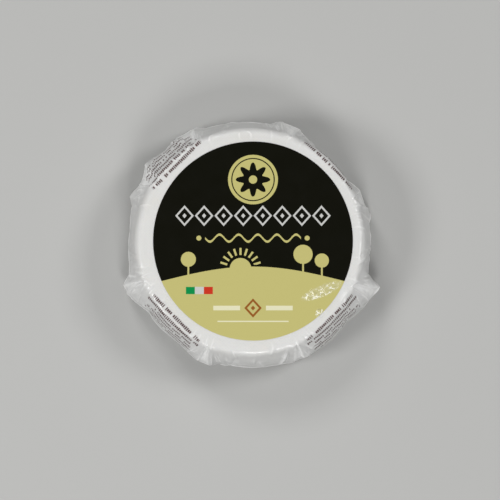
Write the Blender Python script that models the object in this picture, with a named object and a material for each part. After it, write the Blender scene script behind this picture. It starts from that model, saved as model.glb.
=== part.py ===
"""A whole round soft cheese in its folded film wrap, as one solid lying on its underside.

Metres, +Z up. The origin is the centre of the flat underside, on the cheese's axis.
The film lies on the top face, turns over the shoulder and hangs to a lower edge. Eight
folds take up its fullness, and each stands out as an ear with two tips. Under the lower
edge the film turns in to the flat foot.
"""

import math
from collections import namedtuple

import bmesh
import bpy
from mathutils import Vector

# Driving dimensions
MM = 0.001
CHEESE_RADIUS = 55.0 * MM
PACK_HEIGHT = 32.0 * MM
SHOULDER_RADIUS = 3.5 * MM
FOOT_RADIUS = 50.0 * MM

# The lower edge is a round skirt, a little longer along one diagonal.
SKIRT_RADIUS = 61.0 * MM
SKIRT_STRETCH = 1.2 * MM
STRETCH_DEG = 135
SKIRT_HEIGHT = 4.0 * MM

# A fold runs between two tips, given by their directions. The ear is how far each tip
# stands out from the skirt. Taut says how nearly the side after the fold is a straight
# line to the next fold: 0 is round and 1 is straight. Full says how that side comes
# down: 0 hangs straight from the shoulder and 1 stands out like a tent.
Fold = namedtuple("Fold", "start end start_ear end_ear taut full")
FOLDS = (
    Fold(14, 26, 2.0 * MM, 1.4 * MM, 0.9, 0.2),
    Fold(66, 76, 2.8 * MM, 2.8 * MM, 0.0, 0.4),
    Fold(114, 124, 2.0 * MM, 1.8 * MM, 0.6, 1.0),
    Fold(142, 158, 3.2 * MM, 2.8 * MM, 0.5, 0.6),
    Fold(198, 202, 5.0 * MM, 4.4 * MM, 0.0, 0.9),
    Fold(246, 252, 3.2 * MM, 3.0 * MM, 0.0, 0.7),
    Fold(290, 296, 0.6 * MM, 0.8 * MM, 0.0, 0.9),
    Fold(334, 342, 3.6 * MM, 7.4 * MM, 0.5, 0.5),
)
# Beyond its tips an ear falls back to the skirt: within a small angle on the side where
# the film was folded over, and gently on the other. Neighbouring folds face each other.
STEEP_FADE_DEG = 4
GENTLE_FADE_DEG = 12
# A wide fold opens between its tips, by this much for each degree over the width.
OPEN_WIDTH_DEG = 10
OPEN_DIP = 0.5 * MM
# An ear tip is higher than the skirt by this share of its reach.
EAR_RISE = 0.5
# Between its tips a fold is pressed in, and just there it makes a groove down the side.
GROOVE_DEPTH = 0.8 * MM

# A side runs from the shoulder towards its elbow and bends there to the lower edge. A
# hanging side's elbow is level with that edge, and a full one's is higher and further
# out, with the edge tucked in below it. The elbow has this share of the ear's reach.
ELBOW_EAR = 0.3
FULL_ELBOW_HEIGHT = 20.0 * MM
FULL_ELBOW_REACH = 2.0 * MM
FULL_TUCK = 1.0 * MM

# How far a side bows out, and how hollow the film is where it turns under
SIDE_BOW = 0.5 * MM
UNDER_HOLLOW = 0.3

# The cheese lies off the middle of its skirt, so the pack leans by this much at the top.
LEAN = Vector((1.0 * MM, -1.0 * MM, 0))

# The printed disc is nearly central on the top face. A low arch parts its dark field from
# the pale one below it.
PRINT_RADIUS = 48.0 * MM
PRINT_CENTRE = Vector((2.4 * MM, -0.6 * MM, PACK_HEIGHT))
ARCH_START_DEG = 204
ARCH_END_DEG = 336
ARCH_RISE = 7.0 * MM
ARCH_STEPS = 22

# Mesh steps
STEP_DEG = 2
SHOULDER_STEPS = 6
SIDE_STEPS = 9
UNDER_STEPS = 3
SHARP_DEG = 35

FILM_COLOUR = (0.72, 0.72, 0.70, 1.0)
DARK_PRINT_COLOUR = (0.010, 0.010, 0.006, 1.0)
PALE_PRINT_COLOUR = (0.53, 0.50, 0.18, 1.0)
FILM_ROUGHNESS = 0.35
PRINT_ROUGHNESS = 0.30


def clear_scene():
    for old in list(bpy.data.objects):
        bpy.data.objects.remove(old)


def material(name, colour, roughness):
    made = bpy.data.materials.new(name)
    made.use_nodes = True
    shader = made.node_tree.nodes["Principled BSDF"]
    shader.inputs["Base Color"].default_value = colour
    shader.inputs["Roughness"].default_value = roughness
    shader.inputs["Metallic"].default_value = 0.0
    made.diffuse_color = colour
    return made


def between(first, last, share):
    return first + (last - first) * share


def bend(first, elbow, last, share):
    """One coordinate along the curve that leaves first towards elbow and bends to last."""
    return between(between(first, elbow, share), between(elbow, last, share), share)


def turned(deg, start):
    """The angle from start on to deg, in degrees from 0 up to 360."""
    return (deg - start) % 360


def round_skirt(deg):
    return SKIRT_RADIUS + SKIRT_STRETCH * math.cos(2 * math.radians(deg - STRETCH_DEG))


def skirt_at(deg):
    """How far the film's lower edge reaches in this direction, without the ears."""
    radius = round_skirt(deg)
    for fold, following in zip(FOLDS, FOLDS[1:] + FOLDS[:1]):
        span = turned(following.start, fold.end)
        part = turned(deg, fold.end)
        if part < span:
            near = math.sin(math.radians(span - part)) / round_skirt(following.start)
            far = math.sin(math.radians(part)) / round_skirt(fold.end)
            straight = math.sin(math.radians(span)) / (near + far)
            radius = between(radius, straight, fold.taut)
    return radius


def ear_at(deg):
    """How far an ear stands out from the skirt in this direction."""
    reach = 0.0
    before, after = STEEP_FADE_DEG, GENTLE_FADE_DEG
    for fold in FOLDS:
        width = turned(fold.end, fold.start)
        part = turned(deg, fold.start)
        if part <= width:
            dip = OPEN_DIP * max(0, width - OPEN_WIDTH_DEG) * math.sin(math.pi * part / width)
            return between(fold.start_ear, fold.end_ear, part / width) - dip
        if part - width < after:
            reach = max(reach, fold.end_ear * (1 - (part - width) / after))
        if 360 - part < before:
            reach = max(reach, fold.start_ear * (1 - (360 - part) / before))
        before, after = after, before
    return reach


def full_at(deg):
    """How full the film stands in this direction. It changes across each fold."""
    for before, fold, following in zip(FOLDS[-1:] + FOLDS[:-1], FOLDS, FOLDS[1:] + FOLDS[:1]):
        part = turned(deg, fold.start)
        if part < turned(following.start, fold.start):
            return between(before.full, fold.full, min(1, part / turned(fold.end, fold.start)))


def groove_at(deg):
    """How much the film is pressed in here: 1 halfway between a fold's tips, 0 outside them."""
    for fold in FOLDS:
        width = turned(fold.end, fold.start)
        part = turned(deg, fold.start)
        if part <= width:
            return math.sin(math.pi * part / width)
    return 0.0


def shoulder_profile(reach, height):
    """The round shoulder, down to where a straight line to this reach and height touches it."""
    flat_radius = CHEESE_RADIUS - SHOULDER_RADIUS
    centre_height = PACK_HEIGHT - SHOULDER_RADIUS
    across = reach - flat_radius
    down = height - centre_height
    leave = math.atan2(down, across) + math.acos(SHOULDER_RADIUS / math.hypot(across, down))
    points = []
    for step in range(1, SHOULDER_STEPS + 1):
        turn = between(math.pi / 2, leave, step / SHOULDER_STEPS)
        radius = flat_radius + SHOULDER_RADIUS * math.cos(turn)
        points.append((radius, centre_height + SHOULDER_RADIUS * math.sin(turn)))
    return points


def film_profile(deg):
    """Radius and height of the film in this direction, from the shoulder to the foot."""
    skirt = skirt_at(deg)
    ear = ear_at(deg)
    full = full_at(deg)
    edge_reach = skirt + ear - FULL_TUCK * full
    edge_height = SKIRT_HEIGHT + EAR_RISE * ear
    elbow_reach = skirt + ELBOW_EAR * ear + FULL_ELBOW_REACH * full
    elbow_height = between(edge_height, FULL_ELBOW_HEIGHT, full)
    points = shoulder_profile(elbow_reach, elbow_height)
    side_reach, side_height = points[-1]
    for step in range(1, SIDE_STEPS + 1):
        share = step / SIDE_STEPS
        bow = (SIDE_BOW - GROOVE_DEPTH * groove_at(deg)) * math.sin(math.pi * share)
        reach = bend(side_reach, elbow_reach, edge_reach, share) + bow
        points.append((reach, bend(side_height, elbow_height, edge_height, share)))
    for step in range(1, UNDER_STEPS + 1):
        share = step / UNDER_STEPS
        hollow = UNDER_HOLLOW * math.sin(math.pi * share)
        height = edge_height * (1 - share) * (1 - hollow)
        points.append((between(edge_reach, FOOT_RADIUS, share), height))
    return points


def ring(mesh, points):
    return [mesh.verts.new(point) for point in points]


def leaning(radius, height, direction):
    """The point at this radius and height, moved over by the lean."""
    return direction * radius + LEAN * (height / PACK_HEIGHT) + Vector((0, 0, height))


def skin(mesh, upper, lower):
    """A band of quads between two rings, facing out."""
    for i in range(len(upper)):
        j = (i + 1) % len(upper)
        mesh.faces.new((upper[i], lower[i], lower[j], upper[j]))


def arch_points(start, end):
    """Inner points of the arch that parts the two printed fields."""
    points = []
    for step in range(1, ARCH_STEPS):
        share = step / ARCH_STEPS
        point = start.lerp(end, share)
        point.y += ARCH_RISE * math.sin(math.pi * share)
        points.append(point)
    return points


def printed_disc(mesh, edge):
    """The printed top face: a dark field over a pale one, as two flat faces."""
    start = ARCH_START_DEG // STEP_DEG
    end = ARCH_END_DEG // STEP_DEG
    arch = ring(mesh, arch_points(edge[start].co, edge[end].co))
    pale = mesh.faces.new(edge[start:end + 1] + arch[::-1])
    dark = mesh.faces.new(edge[end:] + edge[:start + 1] + arch)
    dark.material_index = 1
    pale.material_index = 2


def wrapped_cheese(collection):
    mesh = bmesh.new()
    directions = range(0, 360, STEP_DEG)
    turns = [Vector((math.cos(math.radians(deg)), math.sin(math.radians(deg)), 0)) for deg in directions]
    profiles = [film_profile(deg) for deg in directions]
    upper = ring(mesh, [PRINT_CENTRE + PRINT_RADIUS * turn for turn in turns])
    printed_disc(mesh, upper)
    for section in zip(*profiles):
        lower = ring(mesh, [leaning(*point, turn) for point, turn in zip(section, turns)])
        skin(mesh, upper, lower)
        upper = lower
    mesh.faces.new(upper[::-1])
    data = bpy.data.meshes.new("wrapped_cheese")
    mesh.to_mesh(data)
    mesh.free()
    data.shade_smooth()
    data.set_sharp_from_angle(angle=math.radians(SHARP_DEG))
    data.materials.append(material("wrapping_film", FILM_COLOUR, FILM_ROUGHNESS))
    data.materials.append(material("dark_print", DARK_PRINT_COLOUR, PRINT_ROUGHNESS))
    data.materials.append(material("pale_print", PALE_PRINT_COLOUR, PRINT_ROUGHNESS))
    made = bpy.data.objects.new("wrapped_cheese", data)
    collection.objects.link(made)


def main():
    clear_scene()
    collection = bpy.data.collections.new("wrapped_soft_cheese")
    bpy.context.scene.collection.children.link(collection)
    wrapped_cheese(collection)


main()
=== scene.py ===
"""Dresses a whole round soft cheese in its printed, folded film wrap."""

import math
import random
from collections import namedtuple

import bpy
import numpy as np
from bpy.props import FloatProperty, FloatVectorProperty, PointerProperty
from mathutils import Matrix, Vector, noise


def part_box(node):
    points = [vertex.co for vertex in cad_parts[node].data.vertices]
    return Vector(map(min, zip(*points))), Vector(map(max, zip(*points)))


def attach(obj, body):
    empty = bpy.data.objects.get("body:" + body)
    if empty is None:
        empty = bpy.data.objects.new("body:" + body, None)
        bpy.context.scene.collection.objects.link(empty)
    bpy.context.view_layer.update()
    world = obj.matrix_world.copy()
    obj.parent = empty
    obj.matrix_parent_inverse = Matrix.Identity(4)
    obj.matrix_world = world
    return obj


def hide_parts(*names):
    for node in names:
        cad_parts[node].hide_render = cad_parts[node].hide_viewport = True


bl_info = {
    "name": "Wrapped soft cheese",
    "version": (1, 0, 0),
    "blender": (4, 5, 0),
    "location": "View3D > Sidebar > Cheese",
    "description": "Builds a cheese wheel in its folded and printed film wrap",
    "category": "Add Mesh",
}

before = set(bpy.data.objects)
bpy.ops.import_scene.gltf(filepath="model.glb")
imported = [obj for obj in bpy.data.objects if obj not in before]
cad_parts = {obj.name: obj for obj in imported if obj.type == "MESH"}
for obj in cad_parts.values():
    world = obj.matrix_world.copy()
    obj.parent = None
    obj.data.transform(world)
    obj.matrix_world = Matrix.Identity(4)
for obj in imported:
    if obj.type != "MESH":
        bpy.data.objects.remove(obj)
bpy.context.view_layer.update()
CAD_NODE = "wrapped_cheese"
BODY = "root"

MM = 0.001
PACK_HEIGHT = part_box(CAD_NODE)[1].z
RIM_RADIUS = 55.6 * MM
FOOT_RADIUS = 50.0 * MM

# The pack leans by this much at its top, as the solid does.
LEAN = Vector((1.0 * MM, -1.0 * MM, 0))

# A fold's two tips in the lower edge are given by their directions, in degrees from +X.
# Full says how the side after the fold comes down: 0 hangs straight from the shoulder and
# 1 stands out like a tent.
Fold = namedtuple("Fold", "start end full")
FOLDS = (
    Fold(14, 26, 0.2),
    Fold(66, 76, 0.4),
    Fold(114, 124, 1.0),
    Fold(142, 158, 0.6),
    Fold(198, 202, 0.9),
    Fold(246, 252, 0.7),
    Fold(290, 296, 0.9),
    Fold(334, 342, 0.5),
)

# A side leaves the shoulder towards its elbow and bends there to the lower edge. The elbow
# has a share of the ear's reach, and a full side's is higher and further out.
ELBOW_EAR = 0.3
FULL_ELBOW_HEIGHT = 20.0 * MM
FULL_ELBOW_REACH = 2.0 * MM

# Under its edge the film turns in over a narrow lip and slopes down to the foot, steeply at
# first. The last two are the powers that shape the lip and the slope.
LIP_WIDTH = 0.8 * MM
LIP_DROP = 0.4 * MM
LIP_ROUNDNESS = 0.5
UNDER_STEEPNESS = 1.4

# Mesh steps of the film and of the cheese
TURN_STEPS = 960
TOP_STEPS = 18
SHOULDER_STEPS = 16
SIDE_STEPS = 34
LIP_STEPS = 3
UNDER_STEPS = 8
FOOT_STEPS = 10
WHEEL_TURN_STEPS = 256
WHEEL_FLAT_STEPS = 14
WHEEL_CORNER_STEPS = 8
WHEEL_SIDE_STEPS = 12
SHARP_DEG = 60

# A ring's zone tells the film's parts apart. It is 0 on the top, and grows to these numbers
# where the shoulder, the side, the lip and the film under the pack end.
SHOULDER_END = 1
SIDE_END = 2
LIP_END = 3
UNDER_END = 4

# The solid's lower edge is nowhere lower than this, and all its points under the edge are.
# Its points stand this far apart in direction, and are on a step when this near to it. The
# skirt is the edge averaged over a wide angle, which leaves its ears out.
CAD_EDGE_LEAST = 3.95 * MM
CAD_STEP_DEG = 2
CAD_STEP_NEAR = 0.02
SKIRT_MEAN_DEG = 28

# Film lies double in an ear of this reach, from one zone on over a length of zones, and
# everywhere from the second zone on.
DOUBLED_EAR = 2.0 * MM
DOUBLED_START = 1.35
DOUBLED_RUN = 0.4
ALL_DOUBLED_START = 2.5

# The film is pulled tight along its widest line, and a hem stands out there: its height, its
# half width and the angle over which its course is averaged. Its strength changes by a share
# in two waves of so many periods a turn, and it stands in a shallow hollow.
HEM_HEIGHT = 0.6 * MM
HEM_WIDTH = 0.9 * MM
HEM_MEAN_DEG = 4
HEM_CHANGE = 0.2
HEM_WAVES = (7, 3)
HEM_WAVE_START_DEG = 40
HEM_HOLLOW = 0.6
HEM_HOLLOW_WIDTH = 4.5 * MM

# A gusset is a triangle of film, sunk between raised edges. It starts at this zone on the
# shoulder and ends in the fold's two tips. Its upper point is off the middle by this share
# of the fold's width, to one side and the other by turns. A skew under 1 puts its deepest
# place above the middle of its run.
GUSSET_START = 0.25
GUSSET_RUN = 1.75
GUSSET_LEAN = 0.25
GUSSET_SKEW = 0.75
GUSSET_END = 2.9
GUSSET_FADE = 0.9
GUSSET_RISE = 0.7 * MM
GUSSET_RISE_WIDTH = 5.0 * MM
GUSSET_SINK = 1.4 * MM
GUSSET_SINK_WIDTH = 1.2 * MM

# Its edges are white lines, partly whitened film and partly painted highlight, fully so from
# this share of its strength on. They start at this zone, and are nowhere whiter than the most.
GUSSET_LINE_WIDTH = 0.7 * MM
GUSSET_LINE_FULL = 0.5
GUSSET_LINE_START = 0.9
GUSSET_LINE_MOST = 0.8

# Noise that makes the film uneven, by its scale in waves a metre: slow on the top, and slow
# and quick on the loose sides
SLOW_SCALE = 90
QUICK_SCALE = 260
TOP_SOFTNESS = 0.10 * MM
SIDE_SLOW_SOFTNESS = 0.5 * MM
SIDE_QUICK_SOFTNESS = 0.25 * MM
SOFT_SIDE_START = 0.6

# A crease fades out over this share of its length at each end. One of the clear height is
# fully white along its middle, partly as whitened film and partly as painted highlight.
CREASE_FADE = 0.3
CREASE_SHARPNESS = 1.4
CREASE_LINE_SHARPNESS = 3
CLEAR_CREASE = 0.35 * MM

# Ranges that creases are drawn from. Start and end are distances on the flat sheet and width
# is half a crease's width, in millimetres. Turn is in degrees. Height is a share of the
# wrinkle height, and the last field says how white the crease is painted: partly whitened film,
# partly painted highlight.
Creases = namedtuple("Creases", "count start end turn width height whitened")

# Fans of creases from each fold over the rim and down the side. Their heights are chosen
# from these, and the fan over the rim opens by a share of each crease's angle.
RIM_FAN = Creases(5, (48, 52), (55, 63), (-12, 12), (0.9, 2.0), (-0.5, 0.6, 0.8), 0.35)
RIM_FAN_OPENING = 0.5
RIM_FAN_TURN = (-3, 3)
SIDE_FAN = Creases(8, (54, 60), (68, 80), (-10, 10), (0.8, 1.6), (-0.8, 1.1), 0.6)
SIDE_FAN_OPENING = 0.5

# Creases all round. Short ones and those that run along the panels end this much further
# out than they start, and flutes run down the whole side.
SHORT_CREASES = Creases(40, (52, 74), (-4, 6), (-6, 6), (0.9, 1.8), (-0.8, 0.9), 0.3)
PANEL_CREASES = Creases(34, (62, 80), (-3, 3), (8, 20), (0.8, 1.6), (-1.0, 1.1), 0.5)
FLUTES = Creases(64, (53, 60), (70, 86), (-5, 5), (1.6, 3.4), (-1.2, 1.1), 0.3)

# Grooves under the pack: pleats at each fold and narrower gathers all round. Their heights
# aren't drawn, nor is a pleat's width. A height here is a share of the air under the film.
PLEATS = Creases(3, (84, 90), (122, 136), (5, 14), 1.6, -1.0, 1.0)
GATHERS = Creases(36, (92, 100), (106, 130), (-4, 12), (0.8, 1.4), -0.7, 1.0)

# Plain creases on the shoulder: each end by its reach on the flat sheet in millimetres and
# its direction, and how high it is as a share of the wrinkle height
PLAIN_CREASES = (
    (52.6, 335, 52.0, 324, 1.4),
    (54.0, 199, 51.5, 206, 1.3),
    (51.5, 206, 55.5, 208, 1.2),
    (51.0, 88, 54.0, 92, 1.0),
    (50.5, 97, 53.5, 95, 1.0),
    (51.0, 113, 56.5, 110, 1.2),
    (51.5, 120, 57.5, 116, 1.2),
    (51.0, 125, 56.0, 123, 1.0),
    (52.5, 160, 52.5, 186, 0.9),
    (53.5, 4, 53.5, -14, 0.9),
)
PLAIN_WIDTH = 1.2 * MM
# How white the plain creases are: partly whitened film, partly painted highlight
PLAIN_WHITENING_AND_HIGHLIGHT = 0.5

# The least air between the cheese and the film
LEAST_AIR = 0.1 * MM

# The cheese swells at half its height, by this much on average. It swells more towards one
# side and less away from it.
SWELL = 1.6 * MM
SWELL_CHANGE = 1.2 * MM
SWELL_DEG = 235
SWELL_SHARPNESS = 1.5

# The cheese's lower edge is rounder than its shoulder. Its rind is dented by up to twice the
# mean dent, in noise of this scale.
LOWER_EDGE = 6.0 * MM
RIND_DENT = 0.12 * MM
RIND_DENT_SCALE = 60

# The film counts as loose from this distance off the axis on, fully after the run beyond it.
# Only film above this share of the pack's height carries the print.
LOOSE_START = 50.0
LOOSE_RUN = 8.0
PRINTED_ABOVE = 0.7

# Noise in the film's look, by its scale in waves a metre: milky clouds, fine crinkles and
# the flat facets between them. Crinkles are this high where the film's height is 1.
CLOUD_SCALE = 120.0
CRINKLE_SCALE = 420.0
FACET_SCALE = 430.0
CRINKLE_HEIGHT = 0.16 * MM

# The film over the print is crumpled in a sloping patch and in a small round one, whose white
# flecks are partly painted glints. Each is given by its centre and half sizes, in millimetres
# from the print's centre.
CRUMPLE_PATCH = (33.0, -24.2, 10.5, 3.2)
CRUMPLE_SLOPE = 0.38
CRUMPLE_SPOT = (32.0, -35.0, 2.4)
CRUMPLE_STEEPNESS = 4.0

# The radius and soft edge of the film's pinholes, in millimetres times the root of 2, and
# the painted shade in them as a share of the film's colour
PINHOLE_RADIUS = 0.16
PINHOLE_SOFTNESS = 0.2
PINHOLE_SHADE = 0.6

# Small print, in millimetres on the flat sheet: rows of ticks from the inner side of the
# first to the outer side of the last, about a point beside the axis. Rows differ in length,
# ticks in width and height, and some ticks are left out as gaps between words. Each side's
# number, and the steps that follow, only make its random ticks differ from the others'.
ROWS_X = 1.6
ROWS_START = 50.8
ROWS_END = 68.7
ROW_PITCH = 3.0
ROW_HALF_HEIGHT = 0.92
ROW_HALF_LENGTH = 15.5
ROW_LENGTH_CHANGE = 2.0
TICK_PITCH = 1.0
TICK_HALF_WIDTH = 0.26
TICK_WIDTH_CHANGE = 0.20
TALL_TICKS = 0.55
TICK_SHORTER = 0.24
WORD_GAPS = 0.14
ROW_SOFTNESS = 0.3
TICK_SOFTNESS = 0.2
SIDE_NUMBERS = (7.0, 13.0)
ROW_LENGTH_STEP = 2.1
ROW_FORM_STEP = 3.0

# The hill's edge on the print: a wave about its middle height, in millimetres. The figures
# after it are in millimetres from the print's centre too.
HILL_MIDDLE = -19.5
HILL_RISE = 7.0
HILL_HALF_WAVE = 87.7

ROUNDEL_Y = 29.5
ROUNDEL_RADIUS = 12.0
ROUNDEL_CIRCLE = 10.2
ROUNDEL_LINE = 0.28
PETALS = 8.0
PETAL_REACH = 6.6
PETAL_WAVE = 1.7
ROSETTE_EYE = 2.0

SUN_X = -6.0
SUN_Y = -13.6
SUN_RADIUS = 5.2
RAY_PITCH_DEG = 18.0
RAY_REACH = 8.4
RAY_HALF_LENGTH = 1.7
RAY_HALF_WIDTH = 0.5
RAY_ABOVE_HILL = 0.9

# Round trees: the crown's centre and radius
TREES = ((-31.0, -9.0, 3.6), (24.0, -6.6, 4.6), (33.0, -9.6, 3.4))
TRUNK_BELOW_CROWN = 1.6
TRUNK_HALF_WIDTH = 0.42
TRUNK_HALF_HEIGHT = 3.4

FLOURISH_Y = 1.2
FLOURISH_RISE = 1.7
FLOURISH_HALF_WAVE = 4.6
FLOURISH_LINE = 0.55
FLOURISH_HALF_LENGTH = 23.0
FLOURISH_DOT_X = 26.0
FLOURISH_DOT_RADIUS = 1.2

# Lozenges: half width, half height, and what turns their measure into millimetres
CHAIN_Y = 12.0
CHAIN_PITCH = 9.4
CHAIN_HALF_LENGTH = 37.6
CHAIN_LOZENGE = (3.9, 4.4, 2.9)
CHAIN_LINE = 0.42
CHAIN_DOT = (1.0, 1.2, 1.0)

MARK_Y = -32.4
MARK_LOZENGE = (4.2, 4.6, 3.1)
MARK_LINE = 0.5
MARK_DOT_DEPTH = 2.3

# Bars: centre, half width and half height. The first stands at both sides of the mark.
SIDE_BAR = (12.6, -32.4, 6.4, 1.1)
LONG_BAR = (0.0, -38.8, 17.0, 0.3)

SQUARES_X = (-30.0, -25.7, -21.4)
SQUARES_Y = -24.0
SQUARE_HALF_SIZES = (2.15, 1.75)

# The soft lights' height above the horizon, distance and side, and each one's name,
# direction in degrees and power in watts
LIGHT_ELEVATION_DEG = 46
LIGHT_DISTANCE = 1.1
LIGHT_SIDE = 0.30
SOFTBOXES = (
    ("left_light", 200, 5.4),
    ("front_light", 280, 5.1),
    ("back_light", 115, 4.1),
    ("right_light", 20, 4.8),
)
WORLD_STRENGTH = 0.04

FLOOR_HALF = 1.5
FLOOR_HEIGHT = -0.2 * MM

# The camera's frame in pixels: the picture's width, the print's radius in it, and how far
# the picture's middle is to the right of the print's centre and above it
PICTURE_WIDTH = 500
PRINT_PIXELS = 100
MIDDLE_RIGHT = -3.0
MIDDLE_UP = -9.4


def length(name, description, default):
    return FloatProperty(
        name=name, description=description, default=default, unit="LENGTH", precision=5
    )


def colour(name, description, default):
    return FloatVectorProperty(
        name=name, description=description, default=default, size=3, subtype="COLOR"
    )


class FilmSizes(bpy.types.PropertyGroup):
    shoulder: length("Shoulder", "Radius of the rounded rim", 3.5 * MM)
    wheel_radius: length("Wheel radius", "Radius of the cheese", 55.1 * MM)
    film_gap: length("Film gap", "Air between the cheese and the film", 0.4 * MM)
    wrinkle: length("Wrinkle", "Height of the modelled wrinkles", 0.50 * MM)
    perforation: length("Perforation pitch", "Distance between the film's pinholes", 1.1 * MM)


class PrintSizes(bpy.types.PropertyGroup):
    radius: length("Print radius", "Radius of the printed disc", 48.0 * MM)
    centre_x: length("Print centre X", "How far the print sits to +X of the axis", 2.4 * MM)
    centre_y: length("Print centre Y", "How far the print sits to +Y of the axis", -0.6 * MM)


class PackColours(bpy.types.PropertyGroup):
    film: colour("Film", "Milky white of the film where it is taut", (0.70, 0.70, 0.69))
    # Film colour on the loose sides: painted light, lighter to brighten the steep sides that the
    # lamps light less
    loose_film: colour("Loose film", "Whiter film where it is gathered", (0.73, 0.73, 0.72))
    # Film colour on creases, partly whitened film and partly painted highlight, and where the
    # film is double
    white_film: colour("White film", "Film on creases and where it is double", (0.95, 0.95, 0.94))
    # White flecks where the print is crumpled: partly whitened film, partly painted glints
    fleck: colour("Flecks", "White marks where the print is crumpled", (0.95, 0.95, 0.88))
    dark: colour("Dark field", "Near black of the upper field", (0.0038, 0.0038, 0.0015))
    pale: colour("Pale field", "Pale green of the lower field", (0.468, 0.430, 0.159))
    light: colour("Light print", "Light grey of the ornament", (0.50, 0.50, 0.48))
    bars: colour("Bars", "Cream of the bars on the lower field", (0.66, 0.64, 0.44))
    brown: colour("Brown print", "Brown of the small ornament", (0.26, 0.09, 0.016))
    green: colour("Green square", "Green of the three squares", (0.003, 0.23, 0.058))
    red: colour("Red square", "Red of the three squares", (0.50, 0.032, 0.014))
    small_print: colour("Small print", "Ink of the ticks on the sides", (0.070, 0.034, 0.032))
    rind: colour("Rind", "White bloom of the cheese", (0.86, 0.85, 0.82))
    floor: colour("Floor", "Plain pale floor", (0.40, 0.40, 0.39))


class StageSettings(bpy.types.PropertyGroup):
    elevation: FloatProperty(
        name="Elevation",
        description="Camera's angle above the horizon",
        default=math.radians(85),
        subtype="ANGLE",
    )
    distance: length("Distance", "Camera's distance from the print", 1.0)


class Value:
    """A socket of a material. Arithmetic on it adds Math nodes."""

    def __init__(self, graph, socket):
        self.graph = graph
        self.socket = socket

    def math(self, operation, *others):
        """A Math node that takes this value first, and then the others."""
        return self.graph.node("ShaderNodeMath", {"operation": operation}, (self, *others))

    def under(self, operation, other):
        """A Math node that takes the other first, and then this value."""
        return self.graph.node("ShaderNodeMath", {"operation": operation}, (other, self))

    def __add__(self, other):
        return self.math("ADD", other)

    def __sub__(self, other):
        return self.math("SUBTRACT", other)

    def __mul__(self, other):
        return self.math("MULTIPLY", other)

    def __truediv__(self, other):
        return self.math("DIVIDE", other)

    def __rsub__(self, other):
        return self.under("SUBTRACT", other)

    def __rtruediv__(self, other):
        return self.under("DIVIDE", other)

    def __abs__(self):
        return self.math("ABSOLUTE")

    def __gt__(self, other):
        return self.math("GREATER_THAN", other)

    __radd__ = __add__
    __rmul__ = __mul__

    def least(self, other):
        return self.math("MINIMUM", other)

    def most(self, other):
        return self.math("MAXIMUM", other)

    def floor(self):
        return self.math("FLOOR")

    def sine(self):
        return self.math("SINE")

    def cosine(self):
        return self.math("COSINE")

    def root(self):
        return self.math("SQRT")

    def folded(self, pitch):
        """The value folded into one period of this pitch, centred on 0."""
        return (self / pitch).math("FRACT") * pitch - pitch / 2

    def clamped(self):
        return self.most(0.0).least(1.0)

    def ink(self, soft=0.14):
        """Coverage from a signed distance in millimetres: 1 inside, 0 outside."""
        return (0.5 - self / soft).clamped()


class Graph:
    """The node tree of one material."""

    def __init__(self, name):
        self.material = bpy.data.materials.new(name)
        self.material.use_nodes = True
        self.tree = self.material.node_tree
        self.shader = self.tree.nodes["Principled BSDF"]

    def node(self, kind, settings=None, inputs=(), output=0):
        """A node of this kind: settings are set first, then its sockets' values or links."""
        made = self.tree.nodes.new(kind)
        for name, setting in (settings or {}).items():
            setattr(made, name, setting)
        pairs = inputs.items() if isinstance(inputs, dict) else enumerate(inputs)
        for key, given in pairs:
            self.feed(made.inputs[key], given)
        return Value(self, made.outputs[output])

    def feed(self, socket, given):
        if isinstance(given, Value):
            self.tree.links.new(given.socket, socket)
        else:
            socket.default_value = given

    def set(self, sockets):
        for name, given in sockets.items():
            self.feed(self.shader.inputs[name], given)

    def place(self):
        """The point on the piece, in metres."""
        return self.node("ShaderNodeTexCoord", output="Object")

    def split(self, vector):
        made = self.node("ShaderNodeSeparateXYZ", inputs=(vector,)).socket.node
        return [Value(self, made.outputs[axis]) for axis in "XYZ"]

    def joined(self, x, y, z=0.0):
        return self.node("ShaderNodeCombineXYZ", inputs=(x, y, z))

    def tint(self, mask, under, over):
        """The colour over where the mask is 1, and the colour under where it is 0."""
        settings = {"data_type": "RGBA"}
        inputs = {0: mask, 6: four(under), 7: four(over)}
        return self.node("ShaderNodeMix", settings, inputs, output=2)

    def direction(self, x, y):
        """The angle of the point x, y in radians."""
        return self.node("ShaderNodeMath", {"operation": "ARCTAN2"}, (y, x))

    def mottle(self, vector, scale, detail=3.0, roughness=0.5):
        inputs = {"Vector": vector, "Scale": scale, "Detail": detail, "Roughness": roughness}
        return self.node("ShaderNodeTexNoise", {"noise_dimensions": "3D"}, inputs)

    def facets(self, vector, scale):
        """How far the point is from the edge of its facet, in facets."""
        inputs = {"Vector": vector, "Scale": scale}
        return self.node("ShaderNodeTexVoronoi", {"feature": "DISTANCE_TO_EDGE"}, inputs)

    def chance(self, x, y):
        """A random number from 0 to 1 for each pair of numbers."""
        inputs = {"Vector": self.joined(x, y)}
        return self.node("ShaderNodeTexWhiteNoise", {"noise_dimensions": "2D"}, inputs)

    def mark(self, name):
        """A number that the mesh keeps for each of its points."""
        return self.node("ShaderNodeAttribute", {"attribute_name": name}, output="Fac")

    def bump(self, height, distance, strength=1.0):
        inputs = {"Height": height, "Distance": distance, "Strength": strength}
        return self.node("ShaderNodeBump", {}, inputs)


def four(given):
    """A plain colour with the fourth number that its socket takes, or a value as it is."""
    return given if isinstance(given, Value) else (*given, 1.0)


def between(first, last, share):
    return first + (last - first) * share


def bend(first, elbow, last, share):
    """One coordinate along the curve that leaves first towards elbow and bends to last."""
    return between(between(first, elbow, share), between(elbow, last, share), share)


def polar(radius, deg):
    turn = math.radians(deg)
    return radius * math.cos(turn), radius * math.sin(turn)


def away_from(deg, centre):
    """Signed angle from the centre to deg, from -180 to 180."""
    return (deg - centre + 180) % 360 - 180


def rising(values, start, run):
    """0 up to the start and 1 from the run beyond it on."""
    return np.clip((values - start) / run, 0, 1)


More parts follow.
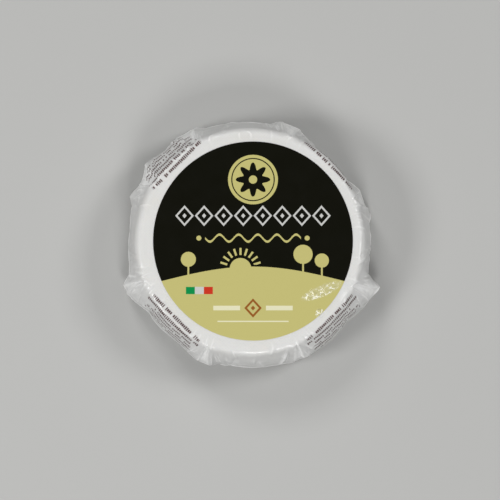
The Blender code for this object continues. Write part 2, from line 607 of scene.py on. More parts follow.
def falling(values, end, run):
    """1 up to the run before the end, and 0 from the end on."""
    return np.clip((end - values) / run, 0, 1)


def hypot(x, y):
    return (x * x + y * y).root()


def box_distance(x, y, centre_x, centre_y, half_width, half_height):
    return (abs(x - centre_x) - half_width).most(abs(y - centre_y) - half_height)


def lozenge_distance(x, y, half_width, half_height, scale):
    return (abs(x) / half_width + abs(y) / half_height - 1.0) * scale


def solid_edge():
    """Height and reach of the solid's lower edge, for every step of direction."""
    sections = [[] for _ in range(360 // CAD_STEP_DEG)]
    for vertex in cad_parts[CAD_NODE].data.vertices:
        upright = vertex.co - LEAN * (vertex.co.z / PACK_HEIGHT)
        step = math.degrees(math.atan2(upright.y, upright.x)) / CAD_STEP_DEG
        if upright.z > CAD_EDGE_LEAST and abs(step - round(step)) < CAD_STEP_NEAR:
            point = (upright.z, math.hypot(upright.x, upright.y))
            sections[round(step) % len(sections)].append(point)
    return np.array([min(section) for section in sections])


def around(values, deg):
    """Values given at the solid's steps, read at any direction."""
    steps = np.append(values, values[0])
    return np.interp(np.mod(deg, 360), np.arange(len(steps)) * CAD_STEP_DEG, steps)


def averaged(values, width_deg):
    """Values all round, averaged over this angle."""
    half = width_deg * TURN_STEPS // 360 // 2
    padded = np.concatenate((values[-half:], values, values[:half]))
    kernel = np.hanning(2 * half + 3)[1:-1]
    return np.convolve(padded, kernel / kernel.sum(), "valid")


def full_at(deg):
    """How full the film stands in these directions. It changes across each fold."""
    places = []
    fulls = []
    for before, fold in zip(FOLDS[-1:] + FOLDS[:-1], FOLDS):
        places += [fold.start, fold.end]
        fulls += [before.full, fold.full]
    return np.interp(deg, places, fulls, period=360)


def cheese_swell(height, deg):
    """How far the cheese swells at this height and in this direction."""
    arch = np.sin(math.pi * np.clip(height / PACK_HEIGHT, 0, 1)) ** SWELL_SHARPNESS
    return arch * (SWELL + SWELL_CHANGE * np.cos(np.radians(deg - SWELL_DEG)))


class FilmGrid:
    """The film's surface as rings of points, from the top's middle to the foot's middle."""

    def __init__(self, sizes):
        self.deg = np.arange(TURN_STEPS) * 360 / TURN_STEPS
        self.rings = []
        self.radii = []
        self.zones = []
        edge = solid_edge()
        self.height = around(edge[:, 0], self.deg)
        self.reach = around(edge[:, 1], self.deg)
        self.skirt = averaged(self.reach, SKIRT_MEAN_DEG)
        full = full_at(self.deg)
        self.elbow_reach = between(self.skirt, self.reach, ELBOW_EAR) + FULL_ELBOW_REACH * full
        self.elbow_height = between(self.height, FULL_ELBOW_HEIGHT, full)
        self.lay_top(sizes.shoulder)
        self.lay_side()
        self.lay_under()
        self.measure(sizes)

    def ring(self, radius, height, zone):
        radius = np.broadcast_to(radius, self.deg.shape)
        height = np.broadcast_to(height, self.deg.shape)
        turn = np.radians(self.deg)
        ring = np.stack((radius * np.cos(turn), radius * np.sin(turn), height), axis=1)
        self.rings.append(ring + np.outer(height / PACK_HEIGHT, LEAN))
        self.radii.append(radius)
        self.zones.append(zone)

    def lay_top(self, shoulder):
        flat = RIM_RADIUS - shoulder
        for step in range(1, TOP_STEPS + 1):
            self.ring(flat * step / TOP_STEPS, PACK_HEIGHT, 0.0)
        across = self.elbow_reach - flat
        down = self.elbow_height - (PACK_HEIGHT - shoulder)
        leave = np.arctan2(down, across) + np.arccos(shoulder / np.hypot(across, down))
        for step in range(1, SHOULDER_STEPS + 1):
            share = step / SHOULDER_STEPS
            turn = between(math.pi / 2, leave, share)
            radius = flat + shoulder * np.cos(turn)
            self.ring(radius, PACK_HEIGHT - shoulder + shoulder * np.sin(turn), share)

    def lay_side(self):
        start_reach = self.radii[-1]
        start_height = self.rings[-1][:, 2]
        for step in range(1, SIDE_STEPS + 1):
            share = step / SIDE_STEPS
            radius = bend(start_reach, self.elbow_reach, self.reach, share)
            height = bend(start_height, self.elbow_height, self.height, share)
            self.ring(radius, height, SHOULDER_END + share)

    def lay_under(self):
        inner = np.minimum(self.reach, self.skirt) - LIP_WIDTH
        lip = self.height - LIP_DROP
        for step in range(1, LIP_STEPS + 1):
            share = step / LIP_STEPS
            height = between(self.height, lip, share**LIP_ROUNDNESS)
            self.ring(between(self.reach, inner, share), height, SIDE_END + share)
        for step in range(1, UNDER_STEPS + 1):
            share = step / UNDER_STEPS
            height = lip * (1 - share) ** UNDER_STEEPNESS
            self.ring(between(inner, FOOT_RADIUS, share), height, LIP_END + share)
        for step in range(1, FOOT_STEPS):
            share = step / FOOT_STEPS
            self.ring(FOOT_RADIUS * (1 - share), 0.0, UNDER_END + share)

    def measure(self, sizes):
        """Lays the points out on a flat sheet, and finds the film's air and doubled places."""
        self.points = np.array(self.rings)
        self.radius = np.array(self.radii)
        run = np.linalg.norm(np.diff(self.points, axis=0), axis=2)
        first = self.radius[0]
        self.spread = np.concatenate((first[None], first + np.cumsum(run, axis=0)))
        turn = np.radians(self.deg)
        self.sheet = np.stack((self.spread * np.cos(turn), self.spread * np.sin(turn)), axis=2)
        self.zone = np.array(self.zones)[:, None] + np.zeros(TURN_STEPS)
        self.relief = np.zeros(self.zone.shape)
        self.lines = np.zeros(self.zone.shape)
        self.beside = (self.zone > SHOULDER_END) & (self.zone < LIP_END)
        air = self.radius - self.cheese_reach(sizes)
        self.room = np.where(self.beside, air, sizes.film_gap)
        ear = rising(self.reach, self.skirt, DOUBLED_EAR)
        near_edge = rising(self.zone, DOUBLED_START, DOUBLED_RUN)
        self.layers = np.maximum(near_edge * ear, rising(self.zone, ALL_DOUBLED_START, 1))

    def cheese_reach(self, sizes):
        """How far the cheese reaches beside each point: a round shoulder, a swollen side."""
        height = self.points[..., 2]
        shoulder = sizes.shoulder - sizes.film_gap
        above = np.clip((height - PACK_HEIGHT + sizes.shoulder) / shoulder, 0, 1)
        drop = shoulder * (1 - np.sqrt(1 - above**2))
        return sizes.wheel_radius - drop + cheese_swell(height, self.deg)

    def normals(self):
        round_way = np.roll(self.points, -1, axis=1) - np.roll(self.points, 1, axis=1)
        down_way = np.gradient(self.points, axis=0)
        normal = np.cross(down_way, round_way)
        return normal / np.linalg.norm(normal, axis=2)[..., None]

    def crease(self, start, end, width, height, whitened):
        """Adds a ridge or groove along a straight line on the flat sheet, and a white line along
        it:
        partly whitened film, partly painted highlight.
        """
        start = np.array(start)
        along = np.array(end) - start
        span = np.linalg.norm(along)
        along = along / span
        offset = self.sheet - start
        forward = offset @ along
        sideways = np.abs(offset @ np.array((-along[1], along[0])))
        fade = rising(np.minimum(forward, span - forward), 0, CREASE_FADE * span)
        shape = np.clip(1 - sideways / width, 0, 1) ** CREASE_SHARPNESS * fade
        self.relief += height * shape
        line = whitened * shape**CREASE_LINE_SHARPNESS * min(1, abs(height) / CLEAR_CREASE)
        self.lines = np.maximum(self.lines, line)

    def push(self):
        """Moves the points out or in, but not into the cheese or out of the solid's box."""
        low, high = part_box(CAD_NODE)
        relief = np.maximum(self.relief, LEAST_AIR - self.room)
        self.points = np.clip(self.points + self.normals() * relief[..., None], low, high)


def noise_on(grid, scale):
    """Smooth noise of this scale at each of the film's points."""
    values = [noise.noise(Vector(point) * scale) for point in grid.points.reshape(-1, 3)]
    return np.array(values).reshape(grid.zone.shape)


def add_softness(grid):
    """Slow unevenness of the film: faint on the taut top and stronger on the loose sides."""
    slow = noise_on(grid, SLOW_SCALE)
    quick = noise_on(grid, QUICK_SCALE)
    loose = rising(grid.zone, SOFT_SIDE_START, 1) * falling(grid.zone, LIP_END, 1)
    grid.relief += TOP_SOFTNESS * slow
    grid.relief += loose * (SIDE_SLOW_SOFTNESS * slow + SIDE_QUICK_SOFTNESS * quick)


def add_hem(grid):
    """A thin raised line along the film's widest place, stronger and weaker by turns, and painted
    white along it as a highlight.
    """
    widest = (grid.radius * (grid.zone <= SIDE_END)).argmax(axis=0)
    course = averaged(grid.spread[widest, np.arange(TURN_STEPS)], HEM_MEAN_DEG)
    off_course = grid.spread - course
    first_wave = np.sin(np.radians(grid.deg * HEM_WAVES[0]))
    wave = first_wave * np.sin(np.radians(grid.deg * HEM_WAVES[1] + HEM_WAVE_START_DEG))
    hem = np.exp(-((off_course / HEM_WIDTH) ** 2)) * (1 - HEM_CHANGE + HEM_CHANGE * wave)
    hollow = HEM_HOLLOW * np.exp(-((off_course / HEM_HOLLOW_WIDTH) ** 2))
    grid.relief += (hem - hollow) * HEM_HEIGHT * grid.beside
    # The hem's white line is a painted highlight.
    grid.lines = np.maximum(grid.lines, hem)


def add_gussets(grid):
    """The folds' gussets, each from a point on the shoulder to the fold's two tips."""
    down = rising(grid.zone, GUSSET_START, GUSSET_RUN)
    strength = np.sin(math.pi * down**GUSSET_SKEW)
    strength = strength * falling(grid.zone, GUSSET_END, GUSSET_FADE)
    lean = GUSSET_LEAN
    for fold in FOLDS:
        width = fold.end - fold.start
        centre = (fold.start + fold.end) / 2 + lean * width * (1 - down)
        turned = np.abs(away_from(grid.deg[None, :], centre))
        outside = np.radians(turned - width / 2 * down) * grid.radius
        edge = GUSSET_RISE * falling(outside, GUSSET_RISE_WIDTH, GUSSET_RISE_WIDTH) ** 2
        sunk = GUSSET_RISE - GUSSET_SINK * rising(-outside, 0, GUSSET_SINK_WIDTH)
        grid.relief += np.where(outside > 0, edge, sunk) * strength
        # White lines along the gusset's edges: partly whitened film, partly painted highlight
        line = falling(np.abs(outside), GUSSET_LINE_WIDTH, GUSSET_LINE_WIDTH)
        line = line * rising(strength, 0, GUSSET_LINE_FULL)
        line = line * np.clip(grid.zone - GUSSET_LINE_START, 0, GUSSET_LINE_MOST)
        grid.lines = np.maximum(grid.lines, line)
        doubled = (outside < 0) * (down > 0) * falling(grid.zone, GUSSET_END, 1)
        grid.layers = np.maximum(grid.layers, doubled)
        lean = -lean


def add_fans(grid, height, draw):
    """Creases that fan out from every fold, over the rim and down the side."""
    for fold in FOLDS:
        centre = (fold.start + fold.end) / 2
        for _ in range(RIM_FAN.count):
            deg = centre + draw.uniform(*RIM_FAN.turn)
            inner = polar(draw.uniform(*RIM_FAN.start) * MM, deg)
            reach = draw.uniform(*RIM_FAN.end) * MM
            opened = deg + RIM_FAN_OPENING * (deg - centre) + draw.uniform(*RIM_FAN_TURN)
            width = draw.uniform(*RIM_FAN.width) * MM
            rise = draw.choice(RIM_FAN.height) * height
            grid.crease(inner, polar(reach, opened), width, rise, RIM_FAN.whitened)
        for _ in range(SIDE_FAN.count):
            deg = centre + draw.uniform(*SIDE_FAN.turn)
            closer = between(centre, deg, SIDE_FAN_OPENING)
            inner = polar(draw.uniform(*SIDE_FAN.start) * MM, closer)
            outer = polar(draw.uniform(*SIDE_FAN.end) * MM, deg)
            width = draw.uniform(*SIDE_FAN.width) * MM
            rise = draw.choice(SIDE_FAN.height) * height
            grid.crease(inner, outer, width, rise, SIDE_FAN.whitened)


def scatter_creases(grid, height, draw, kind, onward):
    """Creases of one kind all round. An onward kind's ends are counted from their starts."""
    for _ in range(kind.count):
        deg = draw.uniform(0, 360)
        start = draw.uniform(*kind.start)
        end = draw.uniform(*kind.end) + onward * start
        outer = polar(end * MM, deg + draw.uniform(*kind.turn))
        width = draw.uniform(*kind.width) * MM
        rise = draw.uniform(*kind.height) * height
        grid.crease(polar(start * MM, deg), outer, width, rise, kind.whitened)


def add_wrinkles(grid, height):
    """Every crease that shows above the lower edge."""
    draw = random.Random(11)
    add_fans(grid, height, draw)
    scatter_creases(grid, height, draw, SHORT_CREASES, onward=True)
    scatter_creases(grid, height, draw, PANEL_CREASES, onward=True)
    scatter_creases(grid, height, draw, FLUTES, onward=False)
    for inner, inner_deg, outer, outer_deg, share in PLAIN_CREASES:
        start = polar(inner * MM, inner_deg)
        end = polar(outer * MM, outer_deg)
        grid.crease(start, end, PLAIN_WIDTH, share * height, PLAIN_WHITENING_AND_HIGHLIGHT)


def add_pleats(grid, depth):
    """Grooves of the film under the pack, from near the lower edge in towards the middle."""
    draw = random.Random(5)
    for fold in FOLDS:
        for step in range(PLEATS.count):
            deg = between(fold.start, fold.end, step / (PLEATS.count - 1))
            start = polar(draw.uniform(*PLEATS.start) * MM, deg)
            end = polar(draw.uniform(*PLEATS.end) * MM, deg + draw.uniform(*PLEATS.turn))
            grid.crease(start, end, PLEATS.width * MM, PLEATS.height * depth, PLEATS.whitened)
    for _ in range(GATHERS.count):
        deg = draw.uniform(0, 360)
        start = polar(draw.uniform(*GATHERS.start) * MM, deg)
        end = polar(draw.uniform(*GATHERS.end) * MM, deg + draw.uniform(*GATHERS.turn))
        width = draw.uniform(*GATHERS.width) * MM
        grid.crease(start, end, width, GATHERS.height * depth, GATHERS.whitened)


def round_corner(radius, centre_height, corner, first_deg):
    """A quarter circle at the rim of a wheel of this radius, down from its first direction."""
    points = []
    for step in range(WHEEL_CORNER_STEPS + 1):
        across, up = polar(corner, first_deg - 90 * step / WHEEL_CORNER_STEPS)
        points.append((radius - corner + across, centre_height + up))
    return points


def wheel_profile(film):
    """Radius and height of the cheese from its top to its underside, without its swelling."""
    radius = film.wheel_radius
    top = PACK_HEIGHT - film.film_gap
    shoulder = film.shoulder - film.film_gap
    upper = round_corner(radius, top - shoulder, shoulder, 90)
    lower = round_corner(radius, film.film_gap + LOWER_EDGE, LOWER_EDGE, 0)
    shares = [step / WHEEL_FLAT_STEPS for step in range(1, WHEEL_FLAT_STEPS)]
    top_flat = [(upper[0][0] * share, top) for share in shares]
    foot = [(lower[-1][0] * (1 - share), film.film_gap) for share in shares]
    side = []
    for step in range(1, WHEEL_SIDE_STEPS):
        share = step / WHEEL_SIDE_STEPS
        side.append((radius, between(upper[-1][1], lower[0][1], share)))
    return top_flat + upper + side + lower + foot


def wheel_ring(radius, height, share):
    """Points round the cheese at this height. The share is how near they are to the rim."""
    ring = []
    for step in range(WHEEL_TURN_STEPS):
        deg = 360 * step / WHEEL_TURN_STEPS
        reach = radius + cheese_swell(height, deg) * share
        point = Vector((*polar(reach, deg), height))
        dent = RIND_DENT * (1 + noise.noise(point * RIND_DENT_SCALE)) * share
        point.xy *= 1 - dent / reach
        ring.append(point + LEAN * (height / PACK_HEIGHT))
    return ring


def grid_mesh(name, points, top, bottom):
    """A closed mesh from rings of points, with a middle point at each end."""
    levels, count = points.shape[:2]
    vertices = np.concatenate(([top], points.reshape(-1, 3), [bottom]))
    last = len(vertices) - 1
    final = last - count
    faces = []
    for i in range(count):
        j = (i + 1) % count
        faces.append((0, 1 + i, 1 + j))
        for level in range(levels - 1):
            upper = 1 + level * count
            lower = upper + count
            faces.append((upper + i, lower + i, lower + j, upper + j))
        faces.append((last, final + j, final + i))
    mesh = bpy.data.meshes.new(name)
    mesh.from_pydata(vertices.tolist(), [], faces)
    mesh.update()
    return mesh


def write_marks(mesh, name, values):
    """Keeps a number from 0 to 1 for each point of the rings, and 0 for the middle points."""
    marks = mesh.attributes.new(name, "FLOAT", "POINT")
    with_middles = np.concatenate(([0.0], np.clip(values, 0, 1).ravel(), [0.0]))
    marks.data.foreach_set("value", with_middles.astype(np.float32))


def write_sheet_map(mesh, sheet):
    """Keeps each corner's place on the flat sheet, in millimetres, as a UV map."""
    flat = np.concatenate(([[0.0, 0.0]], sheet.reshape(-1, 2) / MM, [[0.0, 0.0]]))
    layer = mesh.uv_layers.new(name="flat_sheet")
    corners = np.zeros(len(mesh.loops), dtype=np.int32)
    mesh.loops.foreach_get("vertex_index", corners)
    layer.uv.foreach_set("vector", flat[corners].astype(np.float32).ravel())


def add_piece(name, mesh, material):
    mesh.materials.append(material)
    mesh.shade_smooth()
    piece = bpy.data.objects.new(name, mesh)
    bpy.context.scene.collection.objects.link(piece)
    return piece


def rind_material(colours):
    """A white bloom, with cream patches and a fine fuzz."""
    graph = Graph("bloomy_rind")
    place = graph.place()
    fuzz = graph.mottle(place, 900.0, 4.0, 0.7)
    patch = graph.mottle(place, 45.0, 3.0, 0.6)
    cream = [part * share for part, share in zip(colours.rind, (0.97, 0.93, 0.82))]
    graph.set({
        "Base Color": graph.tint(((patch - 0.5) * 3.0).clamped(), colours.rind, cream),
        "Roughness": 0.9 + (fuzz - 0.5) * 0.1,
        "Subsurface Weight": 0.15,
        "Subsurface Radius": (0.004, 0.003, 0.002),
        "Subsurface Scale": 1.0,
        "Normal": graph.bump(fuzz + patch * 0.6, 0.4 * MM, 0.6),
    })
    return graph.material


def roundel(graph, x, y):
    """The round near the print's top, and the dark rosette and circle on it."""
    reach = hypot(x, y - ROUNDEL_Y)
    petals = (graph.direction(x, y - ROUNDEL_Y) * PETALS).cosine()
    rosette = (reach - (PETAL_REACH + petals * PETAL_WAVE)).most(ROSETTE_EYE - reach)
    circle = abs(reach - ROUNDEL_CIRCLE) - ROUNDEL_LINE
    return reach - ROUNDEL_RADIUS, rosette.least(circle)


def half_sun(graph, x, y, above_hill):
    """A half sun on the hill, with its rays."""
    reach = hypot(x - SUN_X, y - SUN_Y)
    deg = graph.direction(x - SUN_X, y - SUN_Y) * (180 / math.pi)
    off_ray = abs((deg + RAY_PITCH_DEG / 2).folded(RAY_PITCH_DEG))
    ray = off_ray * reach * (math.pi / 180) - RAY_HALF_WIDTH
    ray = ray.most(abs(reach - RAY_REACH) - RAY_HALF_LENGTH)
    return (reach - SUN_RADIUS).least(ray.most(RAY_ABOVE_HILL - above_hill))


def tree(x, y, tree_x, tree_y, crown):
    """A round crown on a straight trunk."""
    trunk_y = tree_y - crown - TRUNK_BELOW_CROWN
    trunk = box_distance(x, y, tree_x, trunk_y, TRUNK_HALF_WIDTH, TRUNK_HALF_HEIGHT)
    return (hypot(x - tree_x, y - tree_y) - crown).least(trunk)


def flourish(x, y):
    """A wavy line with a dot at each end."""
    wave = FLOURISH_RISE * (x * (math.pi / FLOURISH_HALF_WAVE)).sine()
    line = (abs(y - FLOURISH_Y - wave) - FLOURISH_LINE).most(abs(x) - FLOURISH_HALF_LENGTH)
    dots = hypot(abs(x) - FLOURISH_DOT_X, y - FLOURISH_Y) - FLOURISH_DOT_RADIUS
    return line.least(dots)


def lozenge_chain(x, y):
    """A row of outlined lozenges, each with a dot in it."""
    step = x.folded(CHAIN_PITCH)
    outline = abs(lozenge_distance(step, y - CHAIN_Y, *CHAIN_LOZENGE)) - CHAIN_LINE
    dots = lozenge_distance(step, y - CHAIN_Y, *CHAIN_DOT)
    return outline.least(dots).most(abs(x) - CHAIN_HALF_LENGTH)


def brown_mark(x, y):
    """An outlined lozenge with a dot in it."""
    mark = lozenge_distance(x, y - MARK_Y, *MARK_LOZENGE)
    return (abs(mark + MARK_LINE) - MARK_LINE).least(mark + MARK_DOT_DEPTH)


def disc_print(graph, x, y, sizes, colours):
    """The printed disc: its colour and its coverage. All lengths here are in millimetres."""
    disc = (hypot(x, y) - sizes.radius / MM).ink()
    hill = HILL_MIDDLE + HILL_RISE * (x * (math.pi / HILL_HALF_WAVE)).cosine()
    above_hill = y - hill
    round_field, round_figure = roundel(graph, x, y)
    pale_figures = round_field.least(half_sun(graph, x, y, above_hill)).least(flourish(x, y))
    for tree_x, tree_y, crown in TREES:
        pale_figures = pale_figures.least(tree(x, y, tree_x, tree_y, crown))
    bars = box_distance(abs(x), y, *SIDE_BAR).least(box_distance(x, y, *LONG_BAR))

    ink = graph.tint(above_hill.ink(), colours.dark, colours.pale)
    ink = graph.tint(pale_figures.ink(), ink, colours.pale)
    ink = graph.tint(round_figure.ink(), ink, colours.dark)
    ink = graph.tint(lozenge_chain(x, y).ink(), ink, colours.light)
    ink = graph.tint(brown_mark(x, y).ink(), ink, colours.brown)
    ink = graph.tint(bars.ink(), ink, colours.bars)
    for square_x, square in zip(SQUARES_X, (colours.green, colours.light, colours.red)):
        inside = box_distance(x, y, square_x, SQUARES_Y, *SQUARE_HALF_SIZES)
        ink = graph.tint(inside.ink(), ink, square)
    return ink, disc


def small_print(graph, u, v):
    """Coverage of the rows of ticks along the four diagonal sides."""
    p = (u - ROWS_X + v) * math.sqrt(0.5)
    q = (v - u + ROWS_X) * math.sqrt(0.5)
    first = abs(p) > abs(q)
    out = abs(p).most(abs(q))
    along = q * first + p * (1.0 - first)
    side = (p > 0.0) * first * SIDE_NUMBERS[0] + (q > 0.0) * (1.0 - first) * SIDE_NUMBERS[1]
    row = ((out - ROWS_START) / ROW_PITCH).floor()
    tick = (along / TICK_PITCH).floor()
    gap = graph.chance(tick, row + side)
    form = graph.chance(tick + 0.5, row * ROW_FORM_STEP + side)
    half_width = TICK_HALF_WIDTH + TICK_WIDTH_CHANGE * form
    stroke = abs(along.folded(TICK_PITCH)) - half_width
    line = abs((out - ROWS_START).folded(ROW_PITCH)) - ROW_HALF_HEIGHT
    line = line + (form > TALL_TICKS) * TICK_SHORTER
    half_length = ROW_HALF_LENGTH + ROW_LENGTH_CHANGE * (row * ROW_LENGTH_STEP + side).sine()
    inside = (abs(along) - half_length).most(ROWS_START - out).most(out - ROWS_END)
    ticks = line.ink(ROW_SOFTNESS) * stroke.ink(TICK_SOFTNESS)
    return ticks * inside.ink() * (gap > WORD_GAPS)


def pinholes(u, v, pitch):
    """Coverage of the pinholes: a square pattern, turned by half a right angle."""
    apart = pitch * math.sqrt(2)
    off_hole = hypot((u + v).folded(apart), (v - u).folded(apart))
    return (off_hole - PINHOLE_RADIUS).ink(PINHOLE_SOFTNESS)


def crumpled(x, y):
    """Where the film over the print is crumpled."""
    patch_x, patch_y, half_length, half_height = CRUMPLE_PATCH
    rise = y - patch_y - (x - patch_x) * CRUMPLE_SLOPE
    patch = 1.0 - hypot((x - patch_x) / half_length, rise / half_height)
    spot_x, spot_y, radius = CRUMPLE_SPOT
    spot = 1.0 - hypot(x - spot_x, y - spot_y) / radius
    return (patch.most(spot) * CRUMPLE_STEEPNESS).clamped()


def film_material(film, sizes, colours):
    """Milky see-through film with its print: whiter where double, painted lighter on the loose
    sides as painted light, and white along creases, partly as painted highlights.
    """
    graph = Graph("printed_film")
    place = graph.place()
    px, py, pz = graph.split(place)
    x = (px - sizes.centre_x) / MM
    y = (py - sizes.centre_y) / MM
    u, v, _ = graph.split(graph.node("ShaderNodeUVMap", {"uv_map": "flat_sheet"}))
    upper = pz > PRINTED_ABOVE * PACK_HEIGHT
    loose = ((hypot(px, py) / MM - LOOSE_START) / LOOSE_RUN).clamped()
    patch = crumpled(x, y) * upper
    crease_white_and_highlight = graph.mark("crease")
    layered = graph.mark("layers")
    cloud = graph.mottle(place, CLOUD_SCALE, 3.0, 0.55)
    crinkle = graph.mottle(place, CRINKLE_SCALE, 5.0, 0.62)
    facet = graph.facets(place, FACET_SCALE)

    # Where it is crumpled, the print is flecked with white along the facets' edges and a little
    #     # lighter all over: partly whitened film, partly painted glints.
    ink, disc = disc_print(graph, x, y, sizes, colours)
    disc = disc * upper
    fleck = ((0.10 - facet) * 16.0).clamped() * ((crinkle - 0.44) * 9.0).clamped() * patch
    ink = graph.tint((fleck * 0.85).most(patch * 0.10), ink, colours.fleck)

    pinhole = pinholes(u, v, film.perforation / MM)
    ticks = small_print(graph, u, v)
    # The loose sides are painted lighter: painted light on the steep sides.
    bare = graph.tint(loose, colours.film, colours.loose_film)
    # The pinholes are painted darker: painted shade in the holes.
    bare = graph.tint(pinhole * 0.30, bare, [part * PINHOLE_SHADE for part in colours.film])
    # Doubled film is whiter, and the crease lines are white partly as whitened film and partly as
    # painted highlight.
    bare = graph.tint((layered * 0.4).most(crease_white_and_highlight * 0.75), bare, colours.white_film)
    bare = graph.tint(ticks, bare, colours.small_print)

    # Crinkles and facets are faint where the film is taut, and strongest in the crumples.
    height = (crinkle - 0.5) * (0.10 + 1.1 * loose + 1.6 * patch)
    height = height + facet.least(0.4) * (0.3 * loose + 6.0 * patch)
    height = height - pinhole * 0.30 * (1.0 - disc)
    # The print hides the cheese. Milky film hides less of it where it is taut and smooth.
    milk = 0.62 + (cloud - 0.5) * 0.12 + loose * 0.20
    cover = milk + ticks * 0.35 + crease_white_and_highlight * 0.35 + layered * 0.15
    graph.set({
        "Base Color": graph.tint(disc, bare, ink),
        "Roughness": 0.34 - disc * 0.14 + (cloud - 0.5) * 0.10,
        "Alpha": cover.most(disc).clamped(),
        "Coat Weight": (0.26 - disc * 0.21 + patch * 0.95).clamped(),
        "Coat Roughness": 0.08,
        "Normal": graph.bump(height, CRINKLE_HEIGHT),
    })
    return graph.material


def floor_material(colours):
    graph = Graph("pale_floor")
    grain = graph.mottle(graph.place(), 60.0)
    graph.set({"Base Color": four(colours.floor), "Roughness": 0.7 + (grain - 0.5) * 0.1})
    return graph.material


class MakeWheel(bpy.types.Operator):
    """Add the cheese itself, a low wheel with a white bloomy rind"""

    bl_idname = "cheese.make_wheel"
    bl_label = "Cheese wheel"

    def execute(self, context):
        film = context.scene.film_sizes
        rings = []
        for radius, height in wheel_profile(film):
            rings.append(wheel_ring(radius, height, radius / film.wheel_radius))
        top = (*LEAN.xy, PACK_HEIGHT - film.film_gap)
        mesh = grid_mesh("cheese_wheel", np.array(rings), top, (0, 0, film.film_gap))
        piece = add_piece("cheese_wheel", mesh, rind_material(context.scene.pack_colours))
        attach(piece, BODY)
        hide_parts(CAD_NODE)
        return {"FINISHED"}


class MakeFilm(bpy.types.Operator):
    """Add the printed film, folded round the cheese"""

    bl_idname = "cheese.make_film"
    bl_label = "Printed film"

    def execute(self, context):
        scene = context.scene
        film = scene.film_sizes
        grid = FilmGrid(film)
        add_softness(grid)
        add_hem(grid)
        add_gussets(grid)
        add_wrinkles(grid, film.wrinkle)
        add_pleats(grid, film.film_gap)
        grid.push()
        mesh = grid_mesh("film_wrap", grid.points, (*LEAN.xy, PACK_HEIGHT), (0, 0, 0))
        write_sheet_map(mesh, grid.sheet)
        write_marks(mesh, "crease", grid.lines)
        write_marks(mesh, "layers", grid.layers)
        material = film_material(film, scene.print_sizes, scene.pack_colours)
        piece = add_piece("film_wrap", mesh, material)
        mesh.set_sharp_from_angle(angle=math.radians(SHARP_DEG))
        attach(piece, BODY)
        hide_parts(CAD_NODE)
        return {"FINISHED"}


def add_floor(scene):
    """The plain floor, a hair below the pack's foot."""
    across = (-FLOOR_HALF, FLOOR_HALF, FLOOR_HALF, -FLOOR_HALF)
    deep = (-FLOOR_HALF, -FLOOR_HALF, FLOOR_HALF, FLOOR_HALF)
    mesh = bpy.data.meshes.new("floor")
    mesh.from_pydata([(x, y, FLOOR_HEIGHT) for x, y in zip(across, deep)], [], [(0, 1, 2, 3)])
    mesh.materials.append(floor_material(scene.pack_colours))
    floor = bpy.data.objects.new("floor", mesh)
    scene.collection.objects.link(floor)


def add_softbox(scene, name, deg, power):
    """A square area light that looks at the pack from this direction."""
    data = bpy.data.lights.new(name, "AREA")
    data.shape = "SQUARE"
    data.size = LIGHT_SIDE
    data.energy = power
    lamp = bpy.data.objects.new(name, data)
    turn = math.radians(deg)
    rise = math.radians(LIGHT_ELEVATION_DEG)
    level = Vector((math.cos(turn), math.sin(turn), 0)) * math.cos(rise)
    away = level + Vector((0, 0, math.sin(rise)))
    lamp.location = away * LIGHT_DISTANCE
    lamp.rotation_euler = away.to_track_quat("Z", "Y").to_euler()
    scene.collection.objects.link(lamp)


def add_world(scene):
    """A faint even light from all round."""
    world = bpy.data.worlds.new("studio")
    world.use_nodes = True
    background = world.node_tree.nodes["Background"]
    background.inputs["Color"].default_value = (1.0, 1.0, 1.0, 1.0)
    background.inputs["Strength"].default_value = WORLD_STRENGTH
    scene.world = world
    scene.view_settings.view_transform = "Standard"


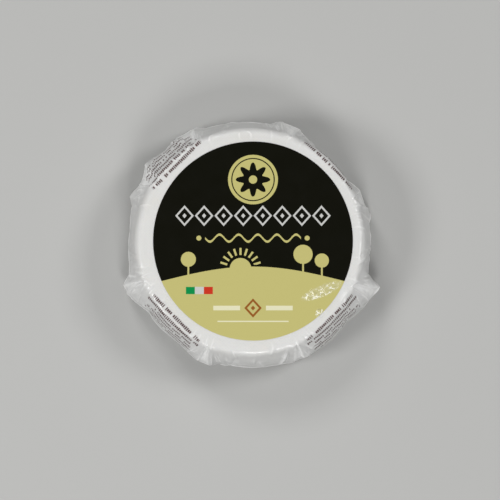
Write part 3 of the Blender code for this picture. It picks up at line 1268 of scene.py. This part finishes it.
def add_camera(scene):
    """The camera, at the distance and angle that the panel sets."""
    settings = scene.stage_settings
    sizes = scene.print_sizes
    pixel = sizes.radius / PRINT_PIXELS
    data = bpy.data.cameras.new("camera")
    data.lens = data.sensor_width * settings.distance / (PICTURE_WIDTH * pixel)
    tilt = settings.elevation
    right = Vector((1, 0, 0))
    away = Vector((0, -math.cos(tilt), math.sin(tilt)))
    up = Vector((0, math.sin(tilt), math.cos(tilt)))
    target = Vector((sizes.centre_x, sizes.centre_y, PACK_HEIGHT))
    target += right * (MIDDLE_RIGHT * pixel) + up * (MIDDLE_UP * pixel)
    camera = bpy.data.objects.new("camera", data)
    axes = Matrix((right, up, away)).transposed().to_4x4()
    camera.matrix_world = Matrix.Translation(target + away * settings.distance) @ axes
    scene.collection.objects.link(camera)
    scene.camera = camera


class MakeStage(bpy.types.Operator):
    """Add the pale floor, the soft lights and the camera"""

    bl_idname = "cheese.make_stage"
    bl_label = "Floor, lights and camera"

    def execute(self, context):
        scene = context.scene
        add_floor(scene)
        for name, deg, power in SOFTBOXES:
            add_softbox(scene, name, deg, power)
        add_world(scene)
        add_camera(scene)
        return {"FINISHED"}


class CheesePanel(bpy.types.Panel):
    """Lists the steps and the sizes and colours that they use"""

    bl_idname = "CHEESE_PT_panel"
    bl_label = "Wrapped cheese"
    bl_space_type = "VIEW_3D"
    bl_region_type = "UI"
    bl_category = "Cheese"

    def draw(self, context):
        for step in STEPS:
            self.layout.operator(step.bl_idname)
        for name in GROUPS:
            group = getattr(context.scene, name)
            for prop in group.bl_rna.properties:
                if prop.identifier in group.__annotations__:
                    self.layout.prop(group, prop.identifier)


STEPS = (MakeStage, MakeWheel, MakeFilm)
GROUPS = {
    "film_sizes": FilmSizes,
    "print_sizes": PrintSizes,
    "pack_colours": PackColours,
    "stage_settings": StageSettings,
}


def register():
    for made in (*GROUPS.values(), *STEPS, CheesePanel):
        bpy.utils.register_class(made)
    for name, group in GROUPS.items():
        setattr(bpy.types.Scene, name, PointerProperty(type=group))


def unregister():
    for name in GROUPS:
        delattr(bpy.types.Scene, name)
    for made in (CheesePanel, *reversed(STEPS), *reversed(GROUPS.values())):
        bpy.utils.unregister_class(made)


def main():
    register()
    bpy.ops.cheese.make_stage()
    bpy.ops.cheese.make_wheel()
    bpy.ops.cheese.make_film()


if __name__ == "__main__":
    main()
